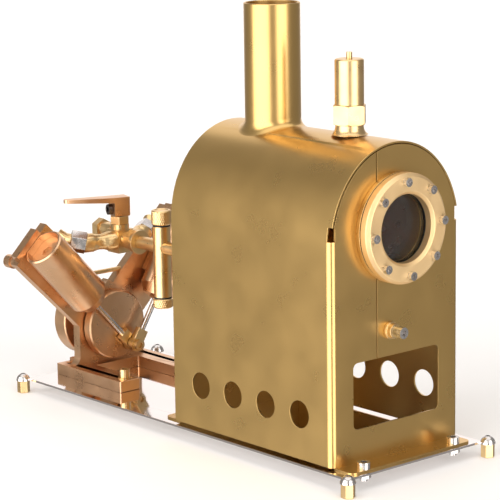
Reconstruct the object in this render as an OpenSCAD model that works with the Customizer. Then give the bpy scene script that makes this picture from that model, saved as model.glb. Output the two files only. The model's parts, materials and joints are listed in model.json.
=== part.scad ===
// Model steam engine: a brass-cased spirit boiler and a twin-cylinder oscillating V engine
// on one polished plate. X runs along the plate with the sight glass at +X, Y runs across it,
// Z is up. The origin lies under the middle of the plate, on the surface the feet stand on.

/* [Base plate and feet] */
// Length of the base plate along X
plate_len = 229.2; // [220:0.2:240]
// Width of the base plate along Y
plate_w = 81; // [78:0.5:90]
// Thickness of the base plate
plate_t = 1; // [0.8:0.1:2]
// Height of the hexagonal feet
foot_h = 6; // [4:0.5:12]
// Width across flats of the hexagonal feet
foot_af = 5.5; // [5:0.1:7]
// How far each foot's centre lies outside the plate's straight edges
foot_out = 1.8; // [1:0.1:3]

/* [Casing] */
// Width of the casing
case_w = 76; // [74:0.5:78]
// Length of the casing along X
case_len = 104.6; // [100:0.2:108]
// Height of the straight side walls
case_wall_h = 93.6; // [85:0.2:100]
// Rise of the arch above the side walls
arch_rise = 41.6; // [38:0.2:44]
// Thickness of the casing sheet
sheet_t = 0.8; // [0.6:0.1:1.2]
// Diameter of the air holes in the side walls
air_hole_d = 12; // [8:0.5:14]
// Distance between neighbouring air holes
air_hole_pitch = 21.8; // [18:0.2:24]
// Width of the fire door opening
door_w = 51; // [40:1:56]
// Height of the fire door opening
door_h = 29; // [20:1:34]

/* [Boiler] */
// Outer diameter of the boiler barrel
barrel_d = 56; // [50:1:60]
// Outer diameter of the sight glass ring
ring_d = 47.6; // [44:0.2:50]
// Diameter of the opening in the sight glass ring
ring_open_d = 29.6; // [26:0.2:32]
// Pitch circle diameter of the ring screws
ring_pcd = 40.6; // [38:0.2:42]
// Number of ring screws
ring_screw_count = 8; // [6:1:12]
// Outer diameter of the chimney
chimney_d = 25.1; // [20:0.1:28]
// Height of the chimney's top edge above the ground
chimney_top = 197.3; // [180:0.1:210]

/* [Engine] */
// Height of the crankshaft above the ground
crank_h = 31; // [29:0.5:33]
// Throw of the crank pin
throw = 12; // [10:0.5:12]
// Crank angle at rest, measured from +Y towards +Z
crank_angle = -57; // [-180:1:180]
// Distance from the crankshaft to each cylinder's pivot
pivot_dist = 47; // [46:0.5:50]
// Outer diameter of the cylinders
cyl_d = 20; // [18:0.5:21]
// Bore of the cylinders
cyl_bore = 12.4; // [11:0.2:12.6]
// Diameter of the piston rods
rod_d = 2.8; // [2.4:0.1:2.8]
// Radius of the crank disc
disc_r = 17; // [16:0.5:17]
// Radius of the flywheel
fly_r = 18.5; // [17:0.5:19]

/* [Steam line] */
// Height of the steam pipe's axis above the ground
pipe_h = 75.4; // [74:0.2:76]
// Outer diameter of the steam pipe
pipe_d = 6.4; // [5:0.2:7]
// Length of the throttle lever from its hub's centre to its tip
lever_len = 34.7; // [28:0.5:40]
// Angle of the throttle lever at rest, measured from -Y towards -X
lever_swing = 15; // [0:1:75]

/* [Hidden] */

gap = 0.3;                      // play between neighbouring moving parts
m3 = 3;                         // M3 thread
m3_hole = 3.2;                  // clearance hole for M3
m2 = 2;                         // M2 thread
plate_top = foot_h + plate_t;
plate_x = plate_len / 2;
foot_x = plate_x + foot_out;
foot_y = plate_w / 2 + foot_out;
ear_r = 3.4;

// casing
front_x = 102.3;                // outer face of the front plate
back_x = front_x - case_len;    // outer face of the back plate
case_z = plate_top + 1;         // lower edge of the side walls
spring_z = case_z + case_wall_h;
bend_r = 2.6;                   // outside radius of the front plate's bent edges
bend_top = case_z + 97;         // where the bent edges end, below a small relief notch
arch_gap = 0.4;                 // gap between the front plate and the arch sheet
flange_len = 11;                // depth of the foot flanges
screw_y = 27;
front_screw_x = front_x + 7.7;
back_screw_x = back_x - 7.7;
air_hole_z = case_z + 19.9;
air_hole_x = front_x - 85.8;    // the hole nearest the back
door_z = case_z + 14.4;
slit_y = -11.5;
slit_w = 0.5;

// boiler
boiler_z = case_z + 98.7;
barrel_x0 = 14;
barrel_x1 = 95;
barrel_wall = 1.5;
neck_d = 38;
flange_t = 2.2;
ring_t = 4.6;
gasket_t = 0.5;
glass_d = 36;
glass_t = 3.2;
chimney_x = 24.6;
valve_x = 74;
drain_y = -4;
drain_z = case_z + 54.6;
drain_r = 2;
safety_z = 143.4;               // lower edge of the bush's skirt, just above the arch

// engine
bearing_face = -100;            // front face of the engine frame
frame_t = 5;
frame_back = bearing_face - frame_t;
disc_t = 5.2;
disc_x = -94;                   // front face of the crank disc
layer = 3.6;                    // the two piston rods lie this far apart along the crankshaft
rods_x = -90;
base_top = plate_top + 5.5;
base_x0 = -112;
base_x1 = -60;
base_half = 25;
bar_w = 12;
column_half = 19;
arm_half = 12.7;
arm_len = 65;
fly_x = -113;                   // front face of the flywheel
fly_t = 9;
shaft_d = 5;
pivot_r = 1.5;
cyl_top = 17.6;                 // open mouth, measured from the pivot
cyl_low = -22;                  // where the lower end begins to taper
cyl_end = -25;
mouth_d = 17.6;                 // recess in the open mouth, above the head plug
mouth_wall = 0.5;               // metal left between that recess and the port face
plug_s = 11.5;                  // seat of the head plug, measured from the pivot
piston_t = 5;
rod_len = 43.2;                 // from the crank pin to the middle of the piston
end_len = 8;                    // length of a rod end above the crank pin
eye_r = 3.6;
pin_r = 2;
pin = [throw * cos(crank_angle), throw * sin(crank_angle)];
pivot_y = pivot_dist * sin(45);
pivot_z = crank_h + pivot_dist * cos(45);
reach_left = norm([pivot_y + pin[0], pivot_y - pin[1]]);
reach_right = norm([pivot_y - pin[0], pivot_y - pin[1]]);
lean_left = atan2(pivot_y + pin[0], pivot_y - pin[1]);
lean_right = -atan2(pivot_y - pin[0], pivot_y - pin[1]);

// steam line
throttle = [-90, 0, 74.4];
throttle_half = 4.5;
gland_z = 82.7;                 // underside of the throttle's gland nut
hub_z = 86.9;                   // underside of the lever's hub
lub_x = -57.2;
lub_r = 4.3;
lub_low = 51.3;
lub_high = 85.7;
inlet_x = throttle[0] + throttle_half + 11.55;   // where the inlet flange meets the pipe
union_end = [-102.5, 28.6, 79];     // where a branch enters the frame, on the +Y side
union_mid = [-98, 22.6, 75.8];
branch_start = [-90, throttle_half, 74.8];
branch_stop = [-94.5, 17.6, 74.6];
tail_d = 6.8;
exhaust_along = 58;
exhaust_side = 7.8;
cross_z = 57;

// colours
brass = [0.80, 0.62, 0.27];
bronze = [0.72, 0.50, 0.28];
steel = [0.72, 0.73, 0.75];
dark = [0.12, 0.12, 0.13];

// cylinder of diameter d from point a to point b
module bar(a, b, d, sides = 48) {
    v = b - a;
    translate(a) rotate([0, acos(v[2] / norm(v)), atan2(v[1], v[0])])
        cylinder(d = d, h = norm(v), $fn = sides);
}

// disc or rod along +X, from x0 to x1
module along_x(d, x0, x1, sides = 48) {
    translate([x0, 0, 0]) rotate([0, 90, 0]) cylinder(d = d, h = x1 - x0, $fn = sides);
}

// hexagon along Z with width across flats af
module hexagon(af, h) {
    cylinder(d = af / cos(30), h = h, $fn = 6);
}

// socket head screw standing on z = 0 with its shank pointing down
module cap_screw(d, shank, head_d, head_h) {
    difference() {
        union() {
            cylinder(d = head_d, h = head_h, $fn = 40);
            translate([0, 0, -shank]) cylinder(d = d, h = shank + 0.1, $fn = 32);
        }
        translate([0, 0, head_h * 0.4]) hexagon(d * 0.83, head_h);
    }
}

// the four feet
module at_feet() {
    for (x = [-1, 1], y = [-1, 1]) translate([x * foot_x, y * foot_y, 0]) children();
}

// the four screws that hold the casing
module at_casing_screws() {
    for (x = [front_screw_x, back_screw_x], y = [-screw_y, screw_y])
        translate([x, y, 0]) children();
}

// the four screws that hold the engine base
module at_base_screws() {
    for (x = [base_x0 + 4, base_x1 - 4.5], y = [-1, 1])
        translate([x, y * (base_half - 6), 0]) children();
}

// ---- base plate, feet and fixings ----

module base_plate() {
    color(steel) difference() {
        translate([0, 0, foot_h]) union() {
            translate([-plate_x, -plate_w / 2, 0]) cube([plate_len, plate_w, plate_t]);
            at_feet() cylinder(r = ear_r, h = plate_t, $fn = 48);
        }
        translate([0, 0, foot_h - 1]) {
            at_feet() cylinder(d = m3_hole, h = plate_t + 2, $fn = 32);
            at_casing_screws() cylinder(d = m3_hole, h = plate_t + 2, $fn = 32);
            at_base_screws() cylinder(d = m3_hole, h = plate_t + 2, $fn = 32);
        }
    }
}

module feet() {
    color(brass) at_feet() difference() {
        hexagon(foot_af, foot_h);
        translate([0, 0, -1]) cylinder(d = 2.5, h = foot_h, $fn = 32);
        translate([0, 0, foot_h / 2]) cylinder(d = m3 + 0.1, h = foot_h, $fn = 32);
    }
}

module foot_screws() {
    dome_r = 3.25;
    dome_h = 2.6;
    ball_r = (dome_r * dome_r + dome_h * dome_h) / (2 * dome_h);
    color(steel) at_feet() translate([0, 0, plate_top]) difference() {
        union() {
            rotate_extrude($fn = 48) intersection() {
                translate([0, dome_h - ball_r]) circle(r = ball_r, $fn = 96);
                square([dome_r, dome_h]);
            }
            translate([0, 0, -plate_t - 2.6]) cylinder(d = m3, h = plate_t + 2.7, $fn = 32);
        }
        translate([0, 0, 1.2]) hexagon(2, 3);
    }
}

// ---- casing ----

// outline of the casing seen from the front, drawn inset by d
module case_outline(d) {
    half = case_w / 2 - d;
    rise = arch_rise - d;
    polygon(concat([[-half, case_z], [half, case_z]],
        [for (a = [0:4:180]) [half * cos(a), spring_z + rise * sin(a)]]));
}

// turns an outline drawn in Y and Z into a slab from x0 to x1
module slab(x0, x1) {
    translate([x0, 0, 0]) rotate([90, 0, 90]) linear_extrude(x1 - x0) children();
}

module air_holes() {
    for (i = [0:3]) translate([air_hole_x + i * air_hole_pitch, 0, air_hole_z])
        rotate([90, 0, 0]) cylinder(d = air_hole_d, h = 2 * case_w, center = true, $fn = 64);
}

module casing_wrap() {
    color(brass) difference() {
        slab(back_x, front_x - 0.1) difference() {
            case_outline(0);
            case_outline(sheet_t);
            translate([-case_w, case_z - 1]) square([2 * case_w, 1.01]);
        }
        // open bottom
        translate([back_x - 1, -case_w / 2 + sheet_t, case_z - 1])
            cube([case_len + 2, case_w - 2 * sheet_t, 10]);
        // the straight front edges stop short of the front plate's bends
        for (y = [-1, 1]) translate([front_x - bend_r, y * case_w / 2 - 2, case_z - 1])
            cube([bend_r + 1, 4, bend_top + 6 - case_z + 1]);
        air_holes();
        translate([chimney_x, 0, spring_z]) cylinder(d = chimney_d - 1.6, h = 60, $fn = 64);
        translate([valve_x, 0, spring_z]) cylinder(d = 9.4, h = 60, $fn = 48);
    }
}

module door_outline() {
    translate([-door_w / 2 + 2.5, door_z + 2.5]) offset(r = 2.5, $fn = 32)
        square([door_w - 5, door_h - 5]);
}

// foot flange with rounded outer corners, from x0 outwards
module foot_flange(x0, dir) {
    half = case_w / 2 - 2;
    r = 3;
    translate([0, 0, plate_top]) hull() {
        translate([x0, -half, 0]) cube([0.1, 2 * half, sheet_t]);
        for (y = [-1, 1]) translate([x0 + dir * (flange_len - r), y * (half - r), 0])
            cylinder(r = r, h = sheet_t, $fn = 32);
    }
}

module casing_front() {
    x0 = front_x - sheet_t;
    half = case_w / 2;
    color(brass) difference() {
        union() {
            slab(x0, front_x) difference() {
                intersection() {
                    case_outline(sheet_t + arch_gap);
                    translate([-half + bend_r, 0]) square([case_w - 2 * bend_r, 300]);
                }
                door_outline();
                translate([slit_y - slit_w / 2, door_z + 5]) square([slit_w, 300]);
            }
            // shoulders between the bends and the arch
            slab(x0, front_x) intersection() {
                case_outline(sheet_t + arch_gap);
                translate([-half, bend_top + 6]) square([case_w, 60]);
                union() for (y = [-1, 1]) translate([y * half - (y > 0 ? bend_r : 0), 0])
                    square([bend_r, 300]);
            }
            // bent vertical edges
            for (y = [-1, 1]) translate([front_x - bend_r, y * (half - bend_r), case_z])
                intersection() {
                    difference() {
                        cylinder(r = bend_r, h = bend_top - case_z, $fn = 48);
                        translate([0, 0, -1])
                            cylinder(r = bend_r - sheet_t, h = bend_top, $fn = 48);
                    }
                    translate([0, y > 0 ? 0 : -bend_r - 1, -1])
                        cube([bend_r + 1, bend_r + 1, bend_top]);
                }
            translate([x0, -half + bend_r, plate_top]) cube([sheet_t, case_w - 2 * bend_r, 1.1]);
            foot_flange(x0, 1);
        }
        translate([x0 - 1, 0, boiler_z]) along_x(neck_d + 0.8, 0, 3, 64);
        translate([x0 - 1, drain_y, drain_z]) along_x(4.6, 0, 3, 32);
        for (y = [-screw_y, screw_y]) translate([front_screw_x, y, plate_top - 1])
            cylinder(d = m3_hole, h = 3, $fn = 32);
    }
}

module casing_back() {
    color(brass) difference() {
        union() {
            slab(back_x, back_x + sheet_t) case_outline(sheet_t + 0.1);
            translate([back_x, -case_w / 2 + 2, plate_top]) cube([sheet_t, case_w - 4, 1.1]);
            foot_flange(back_x + sheet_t, -1);
        }
        translate([back_x - 1, 0, pipe_h]) along_x(pipe_d + 0.8, 0, 3, 48);
        for (y = [-screw_y, screw_y]) translate([back_screw_x, y, plate_top - 1])
            cylinder(d = m3_hole, h = 3, $fn = 32);
    }
}

module casing_screws() {
    color(steel) at_casing_screws() translate([0, 0, plate_top + sheet_t])
        cap_screw(m3, 5.2, 5.5, 3);
}

module casing_nuts() {
    color(steel) at_casing_screws() translate([0, 0, foot_h - 2.2]) difference() {
        hexagon(5.5, 2.2);
        translate([0, 0, -1]) cylinder(d = m3 + 0.1, h = 5, $fn = 32);
    }
}

module chimney() {
    foot_z = case_z + case_wall_h + arch_rise;
    r = chimney_d / 2;
    flare = 4;
    color(brass) translate([chimney_x, 0, 0]) difference() {
        union() {
            translate([0, 0, foot_z + flare - 0.01])
                cylinder(r = r, h = chimney_top - foot_z - flare, $fn = 96);
            rotate_extrude($fn = 96) difference() {
                translate([0, foot_z - 4.2]) square([r + flare, flare + 4.2]);
                translate([r + flare, foot_z + flare]) circle(r = flare, $fn = 48);
            }
        }
        translate([0, 0, foot_z - 10]) cylinder(r = r - 1, h = 100, $fn = 96);
        translate([-chimney_x, 0, 0]) slab(0, 80) case_outline(-0.02);
    }
}

// ---- boiler ----

module boiler_barrel() {
    color(brass) difference() {
        translate([0, 0, boiler_z]) difference() {
            along_x(barrel_d, barrel_x0, barrel_x1, 96);
            along_x(barrel_d - 2 * barrel_wall, barrel_x0 - 1, barrel_x1 + 1, 96);
        }
        translate([valve_x, 0, boiler_z]) cylinder(d = 8.2, h = 60, $fn = 48);
        translate([barrel_x1 - 8, drain_y, drain_z]) cylinder(r = drain_r + 0.05, h = 30, $fn = 32);
    }
}

module boiler_ends() {
    r = barrel_d / 2 - barrel_wall - 0.05;
    color(brass) translate([0, 0, boiler_z]) {
        difference() {
            along_x(2 * r, barrel_x0, barrel_x0 + 3, 96);
            translate([barrel_x0 - 1, 0, 16]) along_x(pipe_d + 0.1, 0, 6, 48);
        }
        front_end(r);
    }
}

// front end of the boiler: its disc, the neck through the casing and the outer flange
module front_end(r) {
    difference() {
        union() {
            along_x(2 * r, barrel_x1 - 3, barrel_x1, 96);
            along_x(neck_d, barrel_x1 - 0.1, front_x + 0.1, 96);
            along_x(ring_d, front_x + 0.05, front_x + flange_t, 96);
        }
        along_x(ring_open_d, barrel_x1 - 4, front_x + 10, 96);
        along_x(glass_d + 0.4, front_x - 1.6, front_x + 10, 96);
        translate([front_x - 4, 0, 0]) ring_holes(m2 + 0.1, 20);
    }
}

module ring_holes(d, len) {
    for (i = [0:ring_screw_count - 1]) rotate([i * 360 / ring_screw_count + 4, 0, 0])
        translate([0, 0, ring_pcd / 2]) along_x(d, 0, len, 24);
}

module glass_gaskets() {
    color(dark) translate([0, 0, boiler_z]) {
        difference() {
            along_x(glass_d, front_x - 1.55, front_x - 1.05, 64);
            along_x(ring_open_d, front_x - 3, front_x + 1, 64);
        }
        difference() {
            along_x(ring_d - 0.6, front_x + flange_t + 0.02, front_x + flange_t + gasket_t, 64);
            along_x(ring_open_d, front_x - 3, front_x + 9, 64);
            translate([front_x - 4, 0, 0]) ring_holes(m2 + 0.3, 20);
        }
    }
}

module sight_glass() {
    color([0.75, 0.85, 0.88, 0.5]) translate([0, 0, boiler_z])
        along_x(glass_d, front_x - 1.0, front_x - 1.0 + glass_t, 64);
}

module sight_glass_ring() {
    x0 = front_x + flange_t + gasket_t + 0.02;
    r = ring_d / 2;
    hole_r = ring_open_d / 2;
    color(brass) translate([x0, 0, boiler_z]) difference() {
        rotate([0, 90, 0]) rotate_extrude($fn = 96) polygon([
            [hole_r, 0], [r, 0], [r, ring_t - 1.4], [r - 1.4, ring_t],
            [hole_r + 1.2, ring_t], [hole_r, ring_t - 1.2]]);
        translate([-1, 0, 0]) ring_holes(m2 + 0.2, 20);
    }
}

module ring_screws() {
    x0 = front_x + flange_t + gasket_t + ring_t + 0.02;
    color(steel) translate([x0, 0, boiler_z])
        for (i = [0:ring_screw_count - 1]) rotate([i * 360 / ring_screw_count + 4, 0, 0])
            translate([0, 0, ring_pcd / 2]) rotate([0, 90, 0]) cap_screw(m2, 7, 3.8, 2);
}

module drain_pipe() {
    top = boiler_z - sqrt(pow(barrel_d / 2, 2) - pow(drain_y, 2)) + 2;
    x = barrel_x1 - 8;
    color(brass) difference() {
        union() {
            bar([x, drain_y, top], [x, drain_y, drain_z], 2 * drain_r);
            translate([x, drain_y, drain_z]) sphere(r = drain_r, $fn = 32);
            bar([x, drain_y, drain_z], [front_x + 1, drain_y, drain_z], 2 * drain_r);
        }
        bar([x, drain_y, top + 1], [x, drain_y, drain_z], 2 * drain_r - 1.6);
        bar([x, drain_y, drain_z], [front_x + 3, drain_y, drain_z], 2 * drain_r - 1.6);
    }
}

module drain_sleeve() {
    color(brass) translate([0, drain_y, drain_z]) difference() {
        union() {
            along_x(7.6, front_x + 0.05, front_x + 1.4, 48);
            along_x(6.4, front_x + 1.3, front_x + 3.6, 48);
        }
        along_x(2 * drain_r + 0.1, front_x - 1, front_x + 1.1, 32);
        along_x(3.05, front_x + 1, front_x + 5, 32);
    }
}

module drain_plug() {
    color(steel) translate([0, drain_y, drain_z]) difference() {
        union() {
            along_x(m3, front_x + 1.6, front_x + 4, 32);
            along_x(5, front_x + 3.7, front_x + 8.7, 40);
        }
        along_x(2.5 / cos(30), front_x + 6.4, front_x + 10, 6);
    }
}

// ---- safety valve ----

module safety_bush() {
    z1 = case_z + 139.8;
    tube_z = boiler_z + barrel_d / 2 - 3;
    color(brass) translate([valve_x, 0, 0]) difference() {
        union() {
            translate([0, 0, tube_z]) cylinder(d = 8.1, h = z1 - tube_z, $fn = 48);
            translate([0, 0, safety_z]) rotate_extrude($fn = 64) polygon([
                [0, 0], [8.2, 0], [7.2, 0.7], [6.4, 2], [6, z1 - safety_z],
                [0, z1 - safety_z]]);
        }
        translate([0, 0, 100]) cylinder(d = 3.2, h = 100, $fn = 32);
        translate([0, 0, z1 - 4]) cylinder(d = 6.1, h = 10, $fn = 40);
    }
}

module safety_body() {
    z0 = case_z + 139.8;
    color(brass) translate([valve_x, 0, 0]) difference() {
        union() {
            translate([0, 0, z0 + 0.05]) intersection() {
                rotate([0, 0, 12]) hexagon(13.4, 8.4);
                rotate_extrude($fn = 64) polygon([
                    [0, 0], [7.0, 0], [7.8, 0.6], [7.8, 7.8], [7.0, 8.4], [0, 8.4]]);
            }
            translate([0, 0, z0 - 3.8]) cylinder(d = 6, h = 4, $fn = 40);
            translate([0, 0, z0 + 8.4]) cylinder(d = 9, h = 3.9, $fn = 48);
        }
        translate([0, 0, z0 - 5]) cylinder(d = 3, h = 30, $fn = 32);
        translate([0, 0, z0 + 1.5]) cylinder(d = 6.6, h = 30, $fn = 48);
    }
}

module safety_cap() {
    z0 = case_z + 148.25;
    color(brass) translate([valve_x, 0, 0]) difference() {
        rotate_extrude($fn = 64) polygon([
            [0, z0 + 0.05], [6.3, z0 + 0.05], [6.3, z0 + 19.2], [5.8, z0 + 19.7],
            [2.2, z0 + 19.7], [0, z0 + 19.7]]);
        translate([0, 0, z0 - 1]) cylinder(d = 9.1, h = 5, $fn = 48);
        translate([0, 0, z0 + 3.9]) cylinder(d = 8.6, h = 13.3, $fn = 48);
        translate([0, 0, z0]) cylinder(d = 2.7, h = 30, $fn = 32);
    }
}

module safety_stem() {
    z0 = case_z + 139.8;
    color(brass) translate([valve_x, 0, 0]) {
        translate([0, 0, z0 + 2.6]) cylinder(d = 2.6, h = 28.4, $fn = 32);
        translate([0, 0, z0 + 1.6]) cylinder(d1 = 4.6, d2 = 6, h = 1.4, $fn = 48);
    }
}

module safety_spring() {
    color(steel) translate([valve_x, 0, 0])
        for (i = [0:8]) translate([0, 0, case_z + 139.8 + 3.4 + i * 2.65])
            rotate_extrude($fn = 32) translate([2.35, 0]) circle(d = 0.7, $fn = 16);
}

// ---- steam line ----

module steam_pipe() {
    elbow_x = barrel_x0 - 7;
    top_z = boiler_z + 16;
    color(brass) difference() {
        union() {
            bar([barrel_x0 + 3, 0, top_z], [elbow_x, 0, top_z], pipe_d);
            translate([elbow_x, 0, top_z]) sphere(d = pipe_d, $fn = 48);
            bar([elbow_x, 0, top_z], [elbow_x, 0, pipe_h], pipe_d);
            translate([elbow_x, 0, pipe_h]) sphere(d = pipe_d, $fn = 48);
            bar([elbow_x, 0, pipe_h], [lub_x + 3.3, 0, pipe_h], pipe_d);
        }
        bar([barrel_x0 + 4, 0, top_z], [elbow_x, 0, top_z], pipe_d - 2);
        bar([elbow_x, 0, top_z], [elbow_x, 0, pipe_h], pipe_d - 2);
        bar([elbow_x, 0, pipe_h], [lub_x, 0, pipe_h], pipe_d - 2);
    }
}

module lubricator_body() {
    color(brass) difference() {
        union() {
            translate([lub_x, 0, lub_low]) cylinder(r = lub_r, h = lub_high - lub_low, $fn = 64);
            translate([0, 0, pipe_h]) along_x(pipe_d, inlet_x, lub_x, 48);
        }
        translate([lub_x, 0, lub_low - 1]) cylinder(r = lub_r - 1.3, h = 60, $fn = 48);
        translate([0, 0, pipe_h]) along_x(pipe_d - 2, throttle[0], lub_x, 48);
        translate([0, 0, pipe_h]) along_x(pipe_d + 0.1, lub_x + 0.5, lub_x + 10, 48);
    }
}

// knurled screw cap with its open end down, standing on z = 0
module knurled_cap(h) {
    ridges = 36;
    difference() {
        union() {
            cylinder(r = 4.6, h = h, $fn = 64);
            for (i = [0:ridges - 1]) rotate([0, 0, i * 360 / ridges]) translate([4.55, 0, 0.5])
                cylinder(r = 0.28, h = h - 1, $fn = 4);
        }
        translate([0, 0, h - 0.6]) difference() {
            cylinder(r = 6, h = 1, $fn = 48);
            translate([0, 0, -0.01]) cylinder(r1 = 4.75, r2 = 4.1, h = 0.7, $fn = 48);
        }
    }
    translate([0, 0, -4]) cylinder(r = lub_r - 1.35, h = 4.1, $fn = 48);
}

module lubricator_cap() {
    color(brass) translate([lub_x, 0, lub_high + 0.9]) knurled_cap(7);
}

module lubricator_drain_cap() {
    color(brass) translate([lub_x, 0, lub_low - 0.9]) rotate([180, 0, 0]) knurled_cap(4.5);
}

module lubricator_o_rings() {
    color(dark) translate([lub_x, 0, 0]) for (z = [lub_low - 0.45, lub_high + 0.45])
        translate([0, 0, z - 0.4]) difference() {
            cylinder(r = lub_r - 0.1, h = 0.8, $fn = 48);
            translate([0, 0, -1]) cylinder(r = lub_r - 1.2, h = 3, $fn = 48);
        }
}

module inlet_flange() {
    x0 = throttle[0] + throttle_half;
    color(bronze) translate([0, 0, pipe_h]) difference() {
        union() {
            along_x(7.6, x0 + 0.05, x0 + 4, 48);
            along_x(9.5 / cos(30), x0 + 3.9, x0 + 9.6, 6);
            along_x(11.8, x0 + 9.5, x0 + 11.5, 64);
        }
        along_x(4.2, x0 - 1, x0 + 30, 32);
    }
}

module throttle_body() {
    h = 11.4;
    color(bronze) translate(throttle) difference() {
        union() {
            translate([-throttle_half, -throttle_half, -h / 2]) cube([9, 9, h]);
            translate([0, 0, h / 2 - 0.1]) cylinder(d = 9, h = 2.6, $fn = 48);
            // plug on the -X side
            translate([0, 0, 4]) along_x(7, -13, -4.4, 48);
            translate([0, 0, 4]) along_x(8.6 / cos(30), -17, -12.9, 6);
        }
        translate([0, 0, -2]) cylinder(d = 4.2, h = 20, $fn = 32);
        translate([0, 0, 1.2]) rotate([90, 0, 0]) cylinder(d = 3, h = 20, center = true, $fn = 32);
        translate([0, 0, 1]) along_x(3.6, 0, 10, 32);
    }
}

module throttle_gland() {
    color(brass) translate([throttle[0], 0, gland_z]) difference() {
        union() {
            rotate([0, 0, 20]) hexagon(8.6, 3.9);
            translate([0, 0, -2]) cylinder(d = 4.1, h = 2.1, $fn = 32);
        }
        translate([0, 0, -3]) cylinder(d = 3.1, h = 10, $fn = 32);
    }
}

module throttle_spindle() {
    color(steel) translate([throttle[0], 0, gland_z - 5]) cylinder(d = 3, h = 15, $fn = 32);
}

module at_lever() {
    translate([throttle[0], 0, hub_z]) rotate([0, 0, -lever_swing]) children();
}

module throttle_lever() {
    block = 4;
    hub_h = 9.3;
    tip_r = 2.2;
    color(bronze) at_lever() difference() {
        union() {
            translate([-block, -block, 0]) cube([2 * block, 2 * block, hub_h]);
            hull() {
                translate([-block, -block, hub_h - 2.6]) cube([2 * block, 1, 2.6]);
                translate([0, -lever_len + tip_r, hub_h - 1]) cylinder(r = tip_r, h = 1.7, $fn = 32);
            }
        }
        translate([0, 0, -1]) cylinder(d = 3.05, h = 8, $fn = 32);
        translate([0, 0, 3.2]) rotate([90, 0, 0]) cylinder(d = m3 + 0.05, h = 20, $fn = 32);
    }
}

// cap screw that clamps the lever on its spindle
module lever_screw() {
    color(dark) at_lever() translate([0, -4.05, 3.2]) rotate([90, 0, 0]) cap_screw(m3, 2.3, 5.2, 2.2);
}

// mirrors a point to the left (-1) or right (+1) cylinder's side
function on_side(p, s) = [p[0], p[1] * s, p[2]];

module steam_branches() {
    color(bronze) for (s = [-1, 1]) {
        a = on_side(branch_start, s);
        b = on_side(branch_stop, s);
        m = on_side(union_mid, s);
        v = b - a;
        d = (m - b) / norm(m - b);
        mid = norm(v) / 2;
        difference() {
            translate(a) rotate([0, acos(v[2] / norm(v)), atan2(v[1], v[0])]) difference() {
                rotate_extrude($fn = 64) difference() {
                    translate([0, -2.5]) square([4.6, 2 * mid + 4.3]);
                    translate([12.8, mid]) circle(r = 9, $fn = 96);
                }
                translate([0, 0, -5]) cylinder(d = 3, h = 40, $fn = 24);
            }
            // the branch ends on the throttle's flat side
            translate([throttle[0] - 20, -throttle_half - 0.02, throttle[2] - 20])
                cube([40, 2 * throttle_half + 0.04, 40]);
            // and square to the union nut's axis
            bar(b + 0.05 * d, b + 12 * d, 14);
        }
    }
}

module union_nuts() {
    color(steel) for (s = [-1, 1]) {
        a = on_side(branch_stop, s);
        m = on_side(union_mid, s);
        d = (m - a) / norm(m - a);
        difference() {
            bar(a + 0.1 * d, a + 7.6 * d, 9.4 / cos(30), 6);
            bar(a - d, a + 9 * d, 4.4);
        }
    }
}

module union_tails() {
    color(brass) for (s = [-1, 1]) {
        a = on_side(branch_stop, s);
        m = on_side(union_mid, s);
        e = on_side(union_end, s);
        d = (m - a) / norm(m - a);
        k = a + 7.6 * d;
        j = k + 2.8 * d;
        f = (e - j) / norm(e - j);
        difference() {
            union() {
                bar(a + 0.3 * d, k + 0.5 * d, 4.2);
                bar(k + 0.1 * d, j, tail_d);
                translate(j) sphere(d = tail_d + 0.2, $fn = 32);
                bar(j, e + 0.4 * f, tail_d);
            }
            arm_body(s, 0.02);
        }
    }
}

module exhaust_stubs() {
    color(bronze) for (s = [-1, 1]) at_arm(s)
        translate([frame_back, s * exhaust_side, exhaust_along]) difference() {
            union() {
                along_x(5.4, -14, -0.05, 48);
                along_x(6.6, -14, -9.5, 48);
            }
            along_x(3, -15, -2, 32);
        }
}

module crossover_tube() {
    inner = cross_z - crank_h - arm_half * sqrt(2);
    color(bronze) difference() {
        translate([bearing_face - frame_t / 2, 0, cross_z]) rotate([90, 0, 0])
            cylinder(d = 2.2, h = 2 * inner + 4, center = true, $fn = 32);
        for (s = [-1, 1]) arm_body(s, 0.02);
    }
}

// ---- engine frame ----

// places things in a frame whose +Z runs up the left (-1) or right (+1) arm
module at_arm(s) {
    translate([0, 0, crank_h]) rotate([-s * 45, 0, 0]) children();
}

module arm_body(s, grow = 0) {
    at_arm(s) translate([frame_back - grow, -arm_half - grow, 0])
        cube([frame_t + 2 * grow, 2 * (arm_half + grow), arm_len + grow]);
}

module engine_base() {
    color(bronze) difference() {
        union() {
            for (s = [-1, 1]) translate([base_x0, s > 0 ? base_half - bar_w : -base_half, plate_top])
                cube([base_x1 - base_x0, bar_w, base_top - plate_top]);
            translate([base_x0, -base_half, plate_top])
                cube([17, 2 * base_half, base_top - plate_top]);
        }
        translate([0, 0, plate_top - 1]) at_base_screws() cylinder(d = m3_hole, h = 10, $fn = 32);
    }
}

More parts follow.
